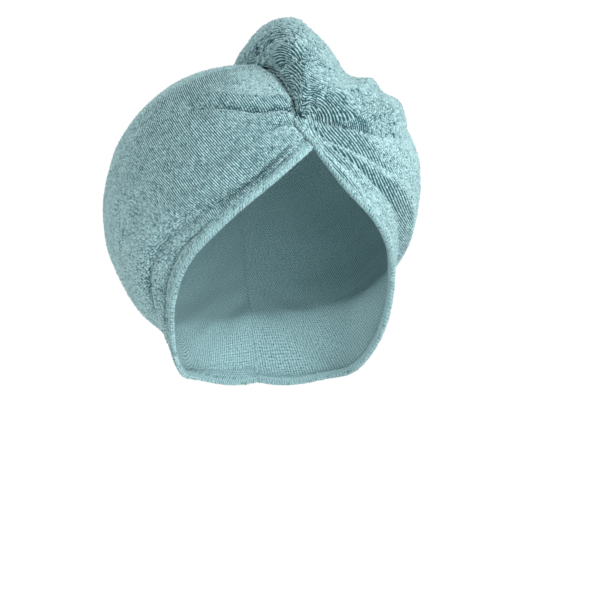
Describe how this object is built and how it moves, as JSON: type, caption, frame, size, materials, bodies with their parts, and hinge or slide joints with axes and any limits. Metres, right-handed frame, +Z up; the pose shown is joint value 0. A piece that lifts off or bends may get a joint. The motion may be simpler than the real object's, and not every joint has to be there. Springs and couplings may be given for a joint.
{
  "type": "hair turban towel",
  "caption": "Terry hair wrap worn as a turban: pleated hood with an arched face opening, gathered and twisted at the front into a tail laid back over the crown.",
  "frame": {"origin": "on the worn head's centre line, under the crown of the hood where the head bears on it", "axes": "-Y to the wearer's front, where the face opening is; +X to the viewer's right; +Z up"},
  "size_m": [0.2079, 0.2384, 0.2455],
  "materials": {
    "terry": "looped pile, matte",
    "elastic": "woven, matte"
  },
  "bodies": {
    "root": {"under_panel": "terry", "over_panel": "terry", "under_panel_hem": "terry", "over_panel_hem": "terry", "twisted_tail": "terry", "nape_loop": "elastic"}
  },
  "joints": []
}
